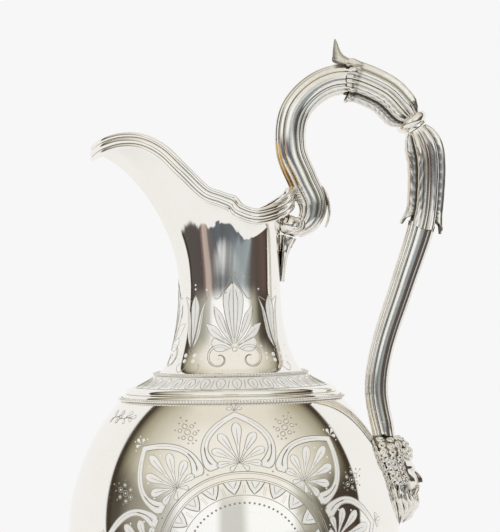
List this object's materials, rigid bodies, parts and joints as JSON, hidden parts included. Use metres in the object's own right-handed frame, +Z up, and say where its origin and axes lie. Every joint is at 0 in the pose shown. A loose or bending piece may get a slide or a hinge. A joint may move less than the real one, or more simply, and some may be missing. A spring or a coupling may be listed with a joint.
{
  "type": "claret jug",
  "caption": "Open silver-plated claret jug with an ovoid body, a long spout lip, a reeded scroll handle with leaf sheaths and a mask, and a domed foot.",
  "frame": {"origin": "on the axis of the body, on the plane that the foot stands on", "axes": "+Z up, spout along -X, handle at +X, seen from the side along +Y"},
  "size_m": [0.1452, 0.1254, 0.3293],
  "materials": {
    "polished_plate": "polished silver plate, slightly warm, with engraved ornament",
    "bright_plate": "bright polished silver plate on the mouldings",
    "old_plate": "cast ornament in silver plate, darker in its hollows"
  },
  "bodies": {
    "root": {"foot_rim": "bright_plate", "foot_bead_wire": "bright_plate", "foot_dome": "polished_plate", "stem": "polished_plate", "stem_knop": "bright_plate", "body_cup": "polished_plate", "body_shell": "polished_plate", "shoulder_bead_wire": "bright_plate", "shoulder_fillet": "polished_plate", "shoulder_ring": "bright_plate", "collar_band": "polished_plate", "neck_bead_wire": "bright_plate", "neck_spout": "polished_plate", "rim_moulding": "bright_plate", "rim_clasp": "bright_plate", "volute_boss": "polished_plate", "handle_scroll": "polished_plate", "scroll_leaf": "old_plate", "neck_drop_leaf": "old_plate", "spur_leaf": "old_plate", "upper_sheath": "old_plate", "handle_knop": "bright_plate", "handle_knop_collar": "polished_plate", "lower_sheath": "old_plate", "handle_limb": "polished_plate", "handle_mask": "old_plate"}
  },
  "joints": []
}
